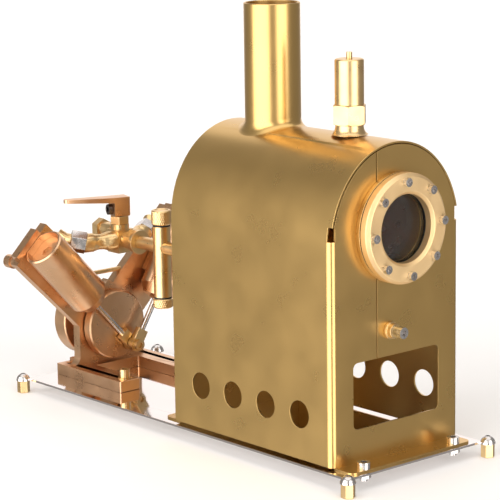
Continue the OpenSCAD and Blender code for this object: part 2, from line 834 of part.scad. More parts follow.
module engine_frame() {
    foot_r = 4;
    r_bore = shaft_d / 2 + 1.25;
    color(bronze) difference() {
        union() {
            for (s = [-1, 1]) arm_body(s);
            slab(frame_back, bearing_face) difference() {
                polygon([[-column_half - foot_r, base_top], [-column_half, base_top + foot_r],
                    [-column_half, crank_h + 8], [0, crank_h + 22], [column_half, crank_h + 8],
                    [column_half, base_top + foot_r], [column_half + foot_r, base_top]]);
                for (s = [-1, 1]) translate([s * (column_half + foot_r), base_top + foot_r])
                    circle(r = foot_r, $fn = 48);
            }
            // strip along the back of the column's foot
            translate([frame_back - 4, -column_half, base_top]) cube([4.1, 2 * column_half, 2.4]);
            translate([0, 0, crank_h]) along_x(17, frame_back - 7, frame_back + 0.1, 64);
            // raised bar across the end of each arm
            for (s = [-1, 1]) at_arm(s)
                translate([frame_back, -arm_half + 3, arm_len - 0.1]) cube([frame_t, 17, 2.8]);
        }
        translate([0, 0, crank_h]) along_x(2 * r_bore, frame_back - 8, bearing_face + 1, 48);
        for (s = [-1, 1]) at_arm(s) {
            translate([0, 0, pivot_dist]) along_x(2 * pivot_r + 0.14, frame_back - 1,
                bearing_face + 1, 32);
            // steam and exhaust ports in the port face
            for (y = [-5.4, 5.4]) translate([0, y, pivot_dist + 7])
                along_x(1.6, frame_back + 1.5, bearing_face + 1, 24);
        }
    }
}

module base_screws() {
    color(brass) {
        for (y = [-1, 1]) translate([base_x1 - 4.5, y * (base_half - 6), base_top]) {
            difference() {
                cylinder(d = 6.6, h = 0.6, $fn = 48);
                translate([0, 0, -1]) cylinder(d = m3 + 0.1, h = 3, $fn = 32);
            }
            translate([0, 0, 0.65]) cap_screw(m3, 8, 5, 4);
        }
        for (y = [-1, 1]) translate([base_x0 + 4, y * (base_half - 6), foot_h])
            rotate([180, 0, 0]) cap_screw(m3, 5.6, 5.5, 2.4);
    }
}

// ---- crank ----

module at_crank() {
    translate([0, 0, crank_h]) children();
}

module crank_bearing() {
    color(brass) at_crank() difference() {
        union() {
            along_x(shaft_d + 2.4, frame_back - 7, bearing_face + 0.1, 48);
            along_x(11, bearing_face, bearing_face + 0.5, 48);
        }
        along_x(shaft_d + 0.1, frame_back - 8, bearing_face + 1, 48);
    }
}

module crankshaft() {
    color(steel) at_crank() along_x(shaft_d, fly_x - fly_t - 2, disc_x - 1.5, 48);
}

module crank_disc() {
    color(bronze) at_crank() difference() {
        union() {
            rotate([0, 90, 0]) rotate_extrude($fn = 96) polygon([
                [0, disc_x - disc_t], [disc_r - 0.4, disc_x - disc_t],
                [disc_r, disc_x - disc_t + 0.4], [disc_r, disc_x - 0.6], [disc_r - 0.6, disc_x],
                [0, disc_x]]);
            translate([disc_x - 0.1, pin[0], pin[1]]) along_x(6, 0, 0.4, 40);
        }
        along_x(shaft_d + 0.02, disc_x - disc_t - 1, disc_x - 1.48, 48);
    }
}

module flywheel() {
    x1 = fly_x;
    x0 = fly_x - fly_t;
    color(bronze) at_crank() difference() {
        rotate([0, 90, 0]) rotate_extrude($fn = 96) polygon([
            [0, x0], [6, x0], [6, x0 + 2], [fly_r - 4, x0 + 2], [fly_r - 4, x0],
            [fly_r - 0.5, x0], [fly_r, x0 + 0.5], [fly_r, x1 - 0.5], [fly_r - 0.5, x1],
            [fly_r - 4, x1], [fly_r - 4, x1 - 2], [6, x1 - 2], [6, x1], [0, x1]]);
        along_x(shaft_d + 0.02, x0 - 1, x1 + 1, 48);
        translate([x0 + fly_t / 2, 0, 0]) cylinder(d = 3.05, h = 30, $fn = 32);
        // lightening holes
        for (i = [0:5]) rotate([i * 60 + 30, 0, 0]) translate([0, 0, 10.2])
            along_x(5, x0 - 1, x1 + 1, 40);
    }
}

module flywheel_grub_screw() {
    color(dark) translate([fly_x - fly_t / 2, 0, crank_h + 2.6]) difference() {
        cylinder(d = m3, h = 3.4, $fn = 32);
        translate([0, 0, 2]) hexagon(1.5, 3);
    }
}

// ---- cylinders ----

// places things in a cylinder's own frame at rest: its pivot at 0, +Z away from the crank
module at_cylinder(s) {
    translate([0, s * pivot_y, pivot_z]) rotate([s < 0 ? lean_left : lean_right, 0, 0])
        children();
}

function axis_x(s) = rods_x + s * layer / 2;

// the recess, or with play the plug that seats in it, flattened beside the port face
module mouth_round(s, h, play = 0) {
    difference() {
        translate([axis_x(s), 0, plug_s + play]) cylinder(d = mouth_d - 2 * play, h = h, $fn = 64);
        translate([bearing_face + gap + mouth_wall + play - 20, -20, 0]) cube([20, 40, 60]);
    }
}

module cylinder_shell(s) {
    r = cyl_d / 2;
    back = bearing_face + gap;
    inner_low = cyl_low + 3;
    color(bronze) at_cylinder(s) difference() {
        union() {
            translate([axis_x(s), 0, 0]) rotate_extrude($fn = 72) polygon([
                [0, cyl_end], [r - 3, cyl_end], [r - 0.8, cyl_low + 0.4], [r, cyl_low + 1.6],
                [r, cyl_top - 0.6], [r - 0.6, cyl_top], [0, cyl_top]]);
            // port block, its flat face sliding on the frame
            translate([back, -6.5, -14]) cube([axis_x(s) - back, 13, 28]);
        }
        // flat port face
        translate([back - 20, -20, -40]) cube([20, 40, 80]);
        translate([axis_x(s), 0, inner_low]) cylinder(d = cyl_bore, h = 60, $fn = 64);
        mouth_round(s, 20);
        translate([axis_x(s), 0, cyl_end - 1]) cylinder(d = rod_d + 0.1, h = 20, $fn = 32);
        along_x(2 * pivot_r + 0.1, back - 1, back + 1.4, 32);
    }
}

module cylinder_trim(s) {
    x = axis_x(s);
    color(brass) at_cylinder(s) {
        difference() {
            mouth_round(s, 2.6, 0.05);
            translate([x, 0, plug_s + 1.4]) hexagon(5, 3);
        }
        translate([x, 0, cyl_end - 1.4]) difference() {
            hexagon(5.4, 1.38);
            translate([0, 0, -1]) cylinder(d = rod_d + 0.1, h = 5, $fn = 32);
        }
    }
}

module pivot_pin(s) {
    back = bearing_face + gap;
    color(steel) at_cylinder(s) {
        along_x(2 * pivot_r, frame_back - 9.6, back + 1.36, 32);
        difference() {
            along_x(5.5 / cos(30), frame_back - 9.2, frame_back - 6.95, 6);
            along_x(2 * pivot_r, frame_back - 12, frame_back, 32);
        }
    }
}

module pivot_springs() {
    color(steel) for (s = [-1, 1]) translate([0, s * pivot_y, pivot_z]) {
        difference() {
            along_x(6, frame_back - 0.6, frame_back - 0.02, 40);
            along_x(2 * pivot_r + 0.3, frame_back - 2, frame_back + 1, 32);
        }
        for (i = [0:4]) translate([frame_back - 1.05 - i * 1.3, 0, 0]) rotate([0, 90, 0])
            rotate_extrude($fn = 32) translate([2.4, 0]) circle(d = 0.8, $fn = 16);
    }
}

function reach(s) = s < 0 ? reach_left : reach_right;

module piston(s) {
    color(brass) at_cylinder(s) translate([axis_x(s), 0, rod_len - reach(s)]) difference() {
        rotate_extrude($fn = 64) polygon([
            [0, -piston_t / 2], [cyl_bore / 2 - 0.05, -piston_t / 2],
            [cyl_bore / 2 - 0.05, -0.9], [cyl_bore / 2 - 0.6, -0.6], [cyl_bore / 2 - 0.6, 0.6],
            [cyl_bore / 2 - 0.05, 0.9], [cyl_bore / 2 - 0.05, piston_t / 2],
            [0, piston_t / 2]]);
        cylinder(d = rod_d + 0.02, h = 20, center = true, $fn = 32);
    }
}

module rod(s) {
    color(steel) at_cylinder(s) translate([axis_x(s), 0, -reach(s)])
        translate([0, 0, eye_r + 0.6]) cylinder(d = rod_d,
            h = rod_len + piston_t / 2 - eye_r - 0.6, $fn = 32);
}

module rod_end(s) {
    half = (layer - 0.4) / 2;
    head = 2.2;
    color(brass) at_cylinder(s) translate([axis_x(s), 0, -reach(s)]) difference() {
        union() {
            along_x(2 * eye_r, -half, half, 48);
            intersection() {
                cylinder(d = 6.6, h = end_len, $fn = 48);
                translate([-half, -5, 0]) cube([2 * half, 10, 20]);
            }
            // the crank pin's head on the outer rod end
            if (s > 0) along_x(5.4, half - 0.1, half + head, 40);
        }
        if (s < 0) along_x(2 * pin_r, -half - 1, half + 1, 40);
        if (s > 0) along_x(2.5 / cos(30), half + head - 1.2, half + head + 1, 6);
        translate([0, 0, eye_r + 0.6]) cylinder(d = rod_d + 0.02, h = 20, $fn = 32);
    }
}

module cylinder_left() { cylinder_shell(-1); }
module cylinder_right() { cylinder_shell(1); }
module cylinder_trim_left() { cylinder_trim(-1); }
module cylinder_trim_right() { cylinder_trim(1); }
module pivot_left() { pivot_pin(-1); }
module pivot_right() { pivot_pin(1); }
module piston_left() { piston(-1); }
module piston_right() { piston(1); }
module rod_left() { rod(-1); }
module rod_right() { rod(1); }
module rod_end_left() { rod_end(-1); }
module rod_end_right() { rod_end(1); }

base_plate();
feet();
foot_screws();
casing_wrap();
casing_front();
casing_back();
casing_screws();
casing_nuts();
chimney();
boiler_barrel();
boiler_ends();
glass_gaskets();
sight_glass();
sight_glass_ring();
ring_screws();
drain_pipe();
drain_sleeve();
drain_plug();
safety_bush();
safety_body();
safety_cap();
safety_stem();
safety_spring();
steam_pipe();
lubricator_body();
lubricator_cap();
lubricator_drain_cap();
lubricator_o_rings();
inlet_flange();
throttle_body();
throttle_gland();
throttle_spindle();
throttle_lever();
lever_screw();
steam_branches();
union_nuts();
union_tails();
exhaust_stubs();
crossover_tube();
engine_base();
engine_frame();
base_screws();
crank_bearing();
crankshaft();
crank_disc();
flywheel();
flywheel_grub_screw();
pivot_springs();
cylinder_left();
cylinder_trim_left();
pivot_left();
piston_left();
rod_left();
rod_end_left();
cylinder_right();
cylinder_trim_right();
pivot_right();
piston_right();
rod_right();
rod_end_right();
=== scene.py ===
import bpy
import bmesh
import json
import math
from mathutils import Matrix, Vector


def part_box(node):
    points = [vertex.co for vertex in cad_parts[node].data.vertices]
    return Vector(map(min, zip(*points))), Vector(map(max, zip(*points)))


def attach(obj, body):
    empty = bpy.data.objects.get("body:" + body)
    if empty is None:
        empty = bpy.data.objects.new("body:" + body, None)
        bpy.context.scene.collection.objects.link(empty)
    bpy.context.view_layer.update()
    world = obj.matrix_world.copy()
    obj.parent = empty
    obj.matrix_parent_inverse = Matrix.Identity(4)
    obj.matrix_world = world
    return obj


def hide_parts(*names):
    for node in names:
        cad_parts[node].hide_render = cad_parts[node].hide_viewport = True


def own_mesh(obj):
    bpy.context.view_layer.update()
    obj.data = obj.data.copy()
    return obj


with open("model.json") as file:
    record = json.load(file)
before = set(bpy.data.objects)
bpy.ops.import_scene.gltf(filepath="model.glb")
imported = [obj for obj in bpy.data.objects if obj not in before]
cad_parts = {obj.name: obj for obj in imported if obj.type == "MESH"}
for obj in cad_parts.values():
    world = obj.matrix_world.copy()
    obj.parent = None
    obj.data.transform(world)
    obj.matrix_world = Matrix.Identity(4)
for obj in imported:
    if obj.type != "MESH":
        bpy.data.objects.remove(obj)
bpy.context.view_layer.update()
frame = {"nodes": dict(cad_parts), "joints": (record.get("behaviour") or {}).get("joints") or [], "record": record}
nodes = frame["nodes"]
joints = {joint["name"]: joint for joint in frame["joints"]}
groups = frame["record"]["behaviour"]["bodies"]
bodyOf = {node: body for body, group in groups.items() for node in group}
mm = 0.001
xAxis, zAxis = Vector((1, 0, 0)), Vector((0, 0, 1))
sharpAngle = math.radians(32)       # edges bent further than this stay crisp
weldDistance = 0.002 * mm
print("frame loaded with", len(nodes), "nodes")


def shaderNode(tree, kind, inputs=None, settings=None):
    made = tree.nodes.new("ShaderNode" + kind)
    for setting, value in (settings or {}).items():
        setattr(made, setting, value)
    for socket, value in (inputs or {}).items():
        if isinstance(value, bpy.types.NodeSocket):
            tree.links.new(value, made.inputs[socket])
        else:
            made.inputs[socket].default_value = value
    return made


def freshMaterial(name):
    material = bpy.data.materials.new(name)
    material.use_nodes = True
    shader = material.node_tree.nodes["Principled BSDF"]
    return material, material.node_tree, shader


def spread(tree, value, low, high, fromLow=0.3, fromHigh=0.7):
    return shaderNode(tree, "MapRange", {"Value": value, "From Min": fromLow, "From Max": fromHigh,
                                         "To Min": low, "To Max": high}).outputs[0]


def noise(tree, vector, scale, detail=3.0, roughness=0.5):
    return shaderNode(tree, "TexNoise", {"Vector": vector, "Scale": scale, "Detail": detail,
                                         "Roughness": roughness}).outputs[0]


# distance from the piece's own axis, and place along it: the way a lathe tool marks it
def latheCoords(tree, coords, centre, axis):
    turn = axis.rotation_difference(zAxis)
    local = shaderNode(tree, "Mapping", {"Vector": coords, "Location": -(turn @ centre),
                                         "Rotation": turn.to_euler()}).outputs[0]
    parts = shaderNode(tree, "SeparateXYZ", {0: local}).outputs
    flat = shaderNode(tree, "CombineXYZ", {0: parts[0], 1: parts[1]}).outputs[0]
    radius = shaderNode(tree, "VectorMath", {0: flat}, {"operation": "LENGTH"}).outputs["Value"]
    return shaderNode(tree, "CombineXYZ", {0: radius, 1: parts[2]}).outputs[0]


mixing = dict(fine=2, tintFrom=0.3, tintTo=0.7, cloudRoughness=0.45, smearDetail=3, dentDetail=1,
              dentRoughness=0.4)


# worked metal: clouded colour, smeared gloss, tool or brush marks and fine pits in its relief
def metal(name, look, lathe=None):
    material, tree, shader = freshMaterial(name)
    coords = shaderNode(tree, "TexCoord").outputs["Object"]
    clouds = noise(tree, coords, 1 / (look["cloud"] * mm), mixing["fine"], mixing["cloudRoughness"])
    tint = shaderNode(tree, "ValToRGB", {"Fac": clouds})
    tint.color_ramp.elements[0].position = mixing["tintFrom"]
    tint.color_ramp.elements[0].color = (*look["dark"], 1)
    tint.color_ramp.elements[1].position = mixing["tintTo"]
    tint.color_ramp.elements[1].color = (*look["light"], 1)
    if lathe:
        along = latheCoords(tree, coords, *lathe)
        pitch = look["turning"]
    else:
        along = shaderNode(tree, "Mapping", {"Vector": coords, "Scale": look["brush"]}).outputs[0]
        pitch = look["brushing"]
    marks = noise(tree, along, 1 / (pitch * mm), mixing["fine"])
    smears = noise(tree, coords, 1 / (look["smear"] * mm), mixing["smearDetail"])
    rough = spread(tree, smears, look["smooth"], look["rough"])
    relief = shaderNode(tree, "Bump", {"Height": marks, "Strength": 1.0,
                                       "Distance": look["markDepth"] * mm}).outputs[0]
    pits = noise(tree, coords, 1 / (look["pit"] * mm), mixing["fine"])
    relief = shaderNode(tree, "Bump", {"Height": pits, "Strength": 1.0, "Normal": relief,
                                       "Distance": look["pitDepth"] * mm}).outputs[0]
    if "wave" in look:     # broad dents of a hand-bent sheet
        dents = noise(tree, coords, 1 / (look["wave"] * mm), mixing["dentDetail"],
                      mixing["dentRoughness"])
        relief = shaderNode(tree, "Bump", {"Height": dents, "Strength": 1.0, "Normal": relief,
                                           "Distance": look["waveDepth"] * mm}).outputs[0]
    shader.inputs["Metallic"].default_value = 1.0
    tree.links.new(tint.outputs[0], shader.inputs["Base Color"])
    tree.links.new(rough, shader.inputs["Roughness"])
    tree.links.new(relief, shader.inputs["Normal"])
    return material


finishes = {
    "casingBrass": dict(light=(0.70, 0.462, 0.172), dark=(0.675, 0.442, 0.163), cloud=30, smear=14,
                        brush=(1, 1, 0.16), brushing=1.1, markDepth=0.002, turning=0.9,
                        smooth=0.27, rough=0.31, pit=0.9, pitDepth=0.0003, wave=38, waveDepth=0.22),
    "machinedBrass": dict(light=(0.82, 0.59, 0.30), dark=(0.76, 0.52, 0.25), cloud=9, smear=5,
                          brush=(1, 1, 1), brushing=1.2, markDepth=0.0014, turning=0.9,
                          smooth=0.26, rough=0.36, pit=0.7, pitDepth=0.0008),
    "facedBrass": dict(light=(0.90, 0.66, 0.36), dark=(0.85, 0.60, 0.31), cloud=12, smear=6,
                       brush=(1, 1, 1), brushing=1.2, markDepth=0.002, turning=0.7,
                       smooth=0.46, rough=0.54, pit=0.7, pitDepth=0.0008),
    "boilerBrass": dict(light=(0.84, 0.58, 0.26), dark=(0.66, 0.40, 0.16), cloud=14, smear=8,
                        brush=(0.3, 1, 1), brushing=1.5, markDepth=0.002, turning=1.2,
                        smooth=0.25, rough=0.38, pit=1.0, pitDepth=0.0014),
    "castBronze": dict(light=(0.74, 0.47, 0.28), dark=(0.66, 0.39, 0.21), cloud=16, smear=7,
                       brush=(1, 1, 1), brushing=1.0, markDepth=0.0016, turning=0.8,
                       smooth=0.26, rough=0.36, pit=0.8, pitDepth=0.0012),
    "mirrorSteel": dict(light=(0.90, 0.85, 0.83), dark=(0.84, 0.78, 0.76), cloud=40, smear=12,
                        brush=(0.12, 1, 1), brushing=0.8, markDepth=0.0006, turning=0.8,
                        smooth=0.04, rough=0.10, pit=2.0, pitDepth=0.0006),
    "brightSteel": dict(light=(0.72, 0.70, 0.69), dark=(0.55, 0.52, 0.50), cloud=4, smear=3,
                        brush=(1, 1, 1), brushing=0.8, markDepth=0.003, turning=0.6,
                        smooth=0.18, rough=0.32, pit=0.6, pitDepth=0.002),
    "darkSteel": dict(light=(0.16, 0.13, 0.12), dark=(0.08, 0.065, 0.06), cloud=4, smear=3,
                      brush=(1, 1, 1), brushing=0.7, markDepth=0.004, turning=0.6,
                      smooth=0.28, rough=0.45, pit=0.5, pitDepth=0.004),
}
plain = {finish: metal(finish, look) for finish, look in finishes.items()}


def rubberMaterial():
    look = dict(colour=(0.012, 0.011, 0.010), grain=0.5, depth=0.01, smooth=0.55, rough=0.75)
    material, tree, shader = freshMaterial("blackRubber")
    coords = shaderNode(tree, "TexCoord").outputs["Object"]
    grain = noise(tree, coords, 1 / (look["grain"] * mm))
    relief = shaderNode(tree, "Bump", {"Height": grain, "Strength": 1.0,
                                       "Distance": look["depth"] * mm}).outputs[0]
    shader.inputs["Base Color"].default_value = (*look["colour"], 1)
    tree.links.new(spread(tree, grain, look["smooth"], look["rough"]), shader.inputs["Roughness"])
    tree.links.new(relief, shader.inputs["Normal"])
    return material


def glassMaterial():
    # the glass's colour is painted shade: a brownish grey that dims what shows through it, standing in for the
    # dark unlit inside of the boiler
    look = dict(colour=(0.66, 0.62, 0.56), smear=6, index=1.46, smooth=0.01, rough=0.05)
    material, tree, shader = freshMaterial("sightGlass")
    coords = shaderNode(tree, "TexCoord").outputs["Object"]
    film = noise(tree, coords, 1 / (look["smear"] * mm))
    shader.inputs["Base Color"].default_value = (*look["colour"], 1)
    shader.inputs["Transmission Weight"].default_value = 1.0
    shader.inputs["IOR"].default_value = look["index"]
    tree.links.new(spread(tree, film, look["smooth"], look["rough"]), shader.inputs["Roughness"])
    return material


plain["rubber"] = rubberMaterial()
plain["glass"] = glassMaterial()
print("materials mixed:", len(plain))


def pieceName(node):
    first, *rest = node.split("_")
    return first + "".join(word.capitalize() for word in rest)


def shadeByAngle(bm):
    for face in bm.faces:
        face.smooth = True
    for edge in bm.edges:
        edge.smooth = len(edge.link_faces) == 2 and edge.calc_face_angle() < sharpAngle


# turns a finished bmesh into a piece that rides on its node's body and stands for the node
def finishPiece(bm, node, finish, lathe=None, edge=0.0, rounds=2):
    shadeByAngle(bm)
    name = pieceName(node)
    mesh = bpy.data.meshes.new(name)
    bm.to_mesh(mesh)
    bm.free()
    if "custom_normal" in mesh.attributes:
        mesh.attributes.remove(mesh.attributes["custom_normal"])
    mesh.materials.clear()
    mesh.materials.append(metal(name + "Turned", finishes[finish], lathe) if lathe else plain[finish])
    piece = bpy.data.objects.new(name, mesh)
    bpy.context.scene.collection.objects.link(piece)
    if edge:
        bevel = piece.modifiers.new("edge", "BEVEL")
        bevel.width = edge * mm
        bevel.segments = rounds
        bevel.limit_method = "ANGLE"
        bevel.angle_limit = sharpAngle
        bevel.harden_normals = True
    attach(piece, bodyOf[node])
    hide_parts(node)
    return piece


# a node's own shape with its edges broken, as a file or a deburring wheel leaves them
def softened(node, finish, edge=0.15, axis=None, centre=None, rounds=2):
    bm = bmesh.new()
    bm.from_mesh(nodes[node].data)
    bmesh.ops.remove_doubles(bm, verts=bm.verts, dist=weldDistance)
    lathe = None
    if axis:
        low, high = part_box(node)
        lathe = (centre or (low + high) / 2, axis)
    return finishPiece(bm, node, finish, lathe=lathe, edge=edge, rounds=rounds)


# spins an outline of (radius, height) points, closed on itself, about the Z axis
def turnedBody(outline, around=96):
    bm = bmesh.new()
    verts = [bm.verts.new((radius * mm, 0, height * mm)) for radius, height in outline]
    edges = [bm.edges.new((verts[i - 1], verts[i])) for i in range(len(verts))]
    bmesh.ops.spin(bm, geom=verts + edges, cent=(0, 0, 0), axis=(0, 0, 1),
                   angle=math.tau, steps=around, use_merge=True)
    bmesh.ops.recalc_face_normals(bm, faces=bm.faces)
    return bm


def filletPoints(centre, radius, start, stop, count):
    steps = [math.radians(start + (stop - start) * i / count) for i in range(count + 1)]
    return [(centre[0] + radius * math.cos(a), centre[1] + radius * math.sin(a)) for a in steps]


casing = dict(archRise=41.6, chimneyFlare=4.0, flareRounds=12, chimneyWall=1.0, lip=0.3, sink=0.06,
              skirt=0.7, sheetEdge=0.12, screwEdge=0.12)


# how far the arch lies below its crown at a place across it
def archDrop(y):
    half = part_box("casing_wrap")[1].y
    return casing["archRise"] * mm * (1 - math.sqrt(max(0, 1 - (y / half) ** 2)))


# the chimney, its foot drawn out onto the arch like a saddle
def makeChimney():
    low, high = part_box("chimney")
    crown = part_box("casing_wrap")[1].z
    flare, lip, sink = casing["chimneyFlare"], casing["lip"], casing["sink"]
    radius = (high.x - low.x) / 2 / mm - flare
    bore = radius - casing["chimneyWall"]
    height = (high.z - crown) / mm
    outline = [(radius + flare, -sink)]
    outline += filletPoints((radius + flare, flare - sink), flare, 270, 180, casing["flareRounds"])[1:]
    outline += [(radius, height - lip), (radius - lip, height), (bore + lip, height),
                (bore, height - lip), (bore, -casing["skirt"])]
    bm = turnedBody(outline, 112)
    for vert in bm.verts:
        if vert.co.z < flare * mm:
            vert.co.z -= archDrop(vert.co.y)
    bmesh.ops.translate(bm, verts=bm.verts, vec=((low.x + high.x) / 2, 0, crown))
    finishPiece(bm, "chimney", "casingBrass")


def makeCasing():
    softened("casing_wrap", "casingBrass", casing["sheetEdge"])
    softened("casing_front", "casingBrass", casing["sheetEdge"])
    softened("casing_back", "casingBrass", casing["sheetEdge"])
    makeChimney()
    softened("casing_screws", "brightSteel", casing["screwEdge"])
    softened("casing_nuts", "brightSteel", casing["screwEdge"])


makeCasing()
print("casing done")


plate = dict(edge=0.12, footEdge=0.3, screwEdge=0.1)


def makePlate():
    softened("base_plate", "mirrorSteel", plate["edge"])
    softened("feet", "machinedBrass", plate["footEdge"])
    softened("foot_screws", "brightSteel", plate["screwEdge"])


makePlate()
print("plate done")


boiler = dict(edge=0.2, ringEdge=0.3, screwEdge=0.12, fittingEdge=0.15, fineEdge=0.1,
              springKeep=0.93)


def makeBoiler():
    softened("boiler_barrel", "boilerBrass", boiler["edge"], xAxis)
    softened("boiler_ends", "boilerBrass", boiler["edge"], xAxis)
    softened("sight_glass_ring", "facedBrass", boiler["ringEdge"], xAxis)
    softened("ring_screws", "brightSteel", boiler["screwEdge"])
    softened("glass_gaskets", "rubber", boiler["fineEdge"])
    softened("sight_glass", "glass", boiler["edge"])
    softened("drain_pipe", "machinedBrass", boiler["fineEdge"], xAxis)
    softened("drain_sleeve", "machinedBrass", boiler["fittingEdge"], xAxis)
    softened("drain_plug", "brightSteel", boiler["fittingEdge"], xAxis)
    for node in ("safety_bush", "safety_body", "safety_cap"):
        softened(node, "machinedBrass", boiler["edge"], zAxis)
    softened("safety_stem", "machinedBrass", boiler["fineEdge"], zAxis)
    spring = softened("safety_spring", "brightSteel", 0.0)
    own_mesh(spring)


makeBoiler()
print("boiler done")


steamLine = dict(edge=0.15, fineEdge=0.1, leverEdge=0.35, nutEdge=0.25, screwEdge=0.08,
                 ringGap=0.9, leverSwing=15, leverBlock=4, leverTrim=0.19)
knurl = dict(rows=20, around=192, count=30, depth=0.3, slant=1.5, chamfer=0.5, play=0.02, rim=0.8,
             dish=0.35, dishSlope=0.4, spigot=2.95, spigotEdge=0.3, pole=0.01)


# a thumb cap with crossed knurling on its side, a dished face and a plain spigot
def knurledCap(node, face, foot):
    low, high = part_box(node)
    centre = Vector(((low.x + high.x) / 2, (low.y + high.y) / 2, foot))
    radius = (high.x - low.x) / 2 / mm - knurl["play"]
    height = abs(face - foot) / mm
    depth = ((foot - low.z) if face > foot else (high.z - foot)) / mm
    chamfer, rows, pole = knurl["chamfer"], knurl["rows"], knurl["pole"]
    spigot, spigotEdge = knurl["spigot"], knurl["spigotEdge"]
    rim = radius - chamfer - knurl["rim"]
    side = [(radius, chamfer + (height - 2 * chamfer) * i / rows) for i in range(rows + 1)]
    outline = [(pole, -depth), (spigot - spigotEdge, -depth), (spigot, spigotEdge - depth),
               (spigot, 0), (radius - chamfer, 0), *side, (radius - chamfer, height), (rim, height),
               (rim - knurl["dishSlope"], height - knurl["dish"]), (pole, height - knurl["dish"])]
    bm = turnedBody(outline, knurl["around"])
    for vert in bm.verts:
        x, y, z = vert.co
        if math.hypot(x, y) > (radius - knurl["play"]) * mm:
            angle = math.atan2(y, x) * knurl["count"] / 2
            cut = max(abs(math.sin(angle + z / mm * knurl["slant"])),
                      abs(math.sin(angle - z / mm * knurl["slant"])))
            shrink = 1 - knurl["depth"] * (1 - cut) / radius
            vert.co.x, vert.co.y = x * shrink, y * shrink
    if face < foot:
        bmesh.ops.rotate(bm, verts=bm.verts, matrix=Matrix.Rotation(math.pi, 3, "X"))
    bmesh.ops.translate(bm, verts=bm.verts, vec=centre)
    finishPiece(bm, node, "machinedBrass")


# the lever's blade is drawn in towards its block
def makeLever():
    lever = softened("throttle_lever", "castBronze", steamLine["leverEdge"])
    low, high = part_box("throttle_spindle")
    along = Matrix.Rotation(math.radians(-steamLine["leverSwing"]), 3, "Z") @ Vector((0, -1, 0))
    for vert in lever.data.vertices:
        beyond = (vert.co - (low + high) / 2).dot(along) - steamLine["leverBlock"] * mm
        if beyond > 0:
            vert.co -= along * beyond * steamLine["leverTrim"]


def makeSteamLine():
    edge, fineEdge = steamLine["edge"], steamLine["fineEdge"]
    softened("steam_pipe", "machinedBrass", fineEdge)
    softened("lubricator_body", "machinedBrass", edge, zAxis)
    bodyLow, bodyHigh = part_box("lubricator_body")
    gap = steamLine["ringGap"] * mm
    knurledCap("lubricator_cap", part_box("lubricator_cap")[1].z, bodyHigh.z + gap)
    knurledCap("lubricator_drain_cap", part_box("lubricator_drain_cap")[0].z, bodyLow.z - gap)
    softened("lubricator_o_rings", "rubber", 0.0)
    softened("inlet_flange", "machinedBrass", edge, xAxis)
    softened("throttle_body", "machinedBrass", edge)
    softened("throttle_gland", "machinedBrass", edge, zAxis)
    softened("throttle_spindle", "brightSteel", fineEdge, zAxis)
    makeLever()
    softened("lever_screw", "darkSteel", steamLine["screwEdge"])
    softened("steam_branches", "machinedBrass", edge)
    softened("union_nuts", "brightSteel", steamLine["nutEdge"])
    softened("union_tails", "machinedBrass", edge)
    softened("exhaust_stubs", "castBronze", edge)
    softened("crossover_tube", "machinedBrass", fineEdge)


makeSteamLine()
print("steam line done")


engine = dict(castEdge=0.7, castRounds=3, turnedEdge=0.35, cylinderEdge=0.3, edge=0.2,
              fittingEdge=0.15, screwEdge=0.12, fineEdge=0.1, grubEdge=0.08)
pivotSpring = dict(turns=4.5, wire=0.8, radius=2.4, stepsPerTurn=28, wireSides=10, washerBore=1.65,
                   washerRadius=3.0, washerThick=0.58, washerSpace=0.6, weld=0.001)


# a helical spring along X: a wire's section carried round and along at once
def springAlongX(bm, x0, x1, centre):
    turns, radius = pivotSpring["turns"], pivotSpring["radius"] * mm
    ring = bmesh.ops.create_circle(bm, segments=pivotSpring["wireSides"], cap_ends=False,
                                   radius=pivotSpring["wire"] / 2 * mm,
                                   matrix=Matrix.Translation(centre + Vector((0, 0, radius)))
                                   @ Matrix.Rotation(math.pi / 2, 4, "X"))
    verts = ring["verts"]
    edges = list({edge for vert in verts for edge in vert.link_edges})
    for vert in verts:
        vert.co.x += x0 - centre.x
    start = bmesh.ops.duplicate(bm, geom=edges + verts)
    cap = [item for item in start["geom"] if isinstance(item, bmesh.types.BMEdge)]
    steps = int(turns * pivotSpring["stepsPerTurn"])
    step = Vector(((x1 - x0) / steps, 0, 0))
    swept = bmesh.ops.spin(bm, geom=edges + verts, cent=centre, axis=(1, 0, 0), dvec=step,
                           angle=math.tau * turns, steps=steps)
    last = [item for item in swept["geom_last"] if isinstance(item, bmesh.types.BMEdge)]
    bmesh.ops.contextual_create(bm, geom=cap)
    bmesh.ops.contextual_create(bm, geom=last)


def makeSprings():
    low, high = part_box("pivot_springs")
    half = pivotSpring["wire"] / 2 * mm
    bore, rim, thick = (pivotSpring[key] for key in ("washerBore", "washerRadius", "washerThick"))
    bm = bmesh.new()
    for joint in ("left_swing", "right_swing"):
        pivot = Vector(joints[joint]["pos_m"])
        centre = Vector((high.x, pivot.y, pivot.z))
        springAlongX(bm, low.x + half, high.x - pivotSpring["washerSpace"] * mm - half, centre)
        washer = turnedBody([(bore, 0), (rim, 0), (rim, thick), (bore, thick)], 48)
        washer.transform(Matrix.Translation(centre) @ Matrix.Rotation(-math.pi / 2, 4, "Y"))
        loose = bpy.data.meshes.new("washer")
        washer.to_mesh(loose)
        washer.free()
        bm.from_mesh(loose)
        bpy.data.meshes.remove(loose)
    bmesh.ops.remove_doubles(bm, verts=bm.verts, dist=pivotSpring["weld"] * mm)
    bmesh.ops.recalc_face_normals(bm, faces=bm.faces)
    finishPiece(bm, "pivot_springs", "brightSteel")


